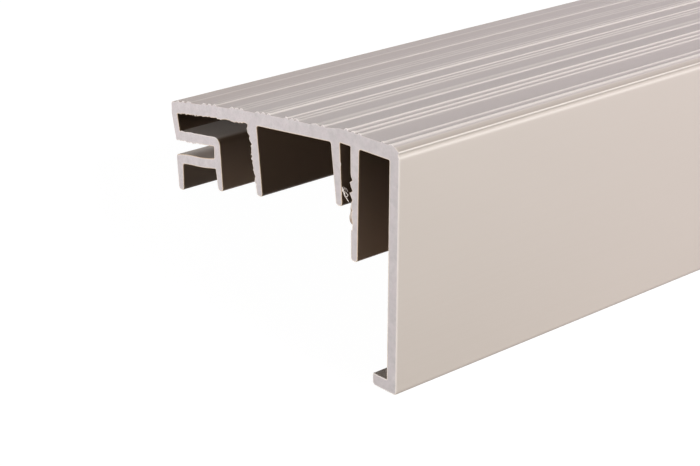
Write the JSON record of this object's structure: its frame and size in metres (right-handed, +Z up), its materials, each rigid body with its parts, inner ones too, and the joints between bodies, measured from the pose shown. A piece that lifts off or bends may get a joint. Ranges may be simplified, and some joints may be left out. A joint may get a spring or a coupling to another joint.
{
  "type": "threshold cap",
  "caption": "Length of beige rigid PVC sill cap extrusion: ribbed sloping deck, deep front skirt with a turned-in lip, hanging legs and a back slot.",
  "frame": {"origin": "on the floor under the middle of the bounding box", "axes": "+X along the extrusion; +Z up; the skirt's outer face looks towards -Y and 20.5 degrees upwards, because the length lies at rest on its lip's heel and the rearmost leg's tip"},
  "size_m": [0.9144, 0.0582, 0.0353],
  "materials": {
    "beige_pvc": "extruded rigid PVC, beige, low sheen, fine draw lines along its length, plain sawn ends"
  },
  "bodies": {
    "root": {"cap_extrusion": "beige_pvc"}
  },
  "joints": []
}
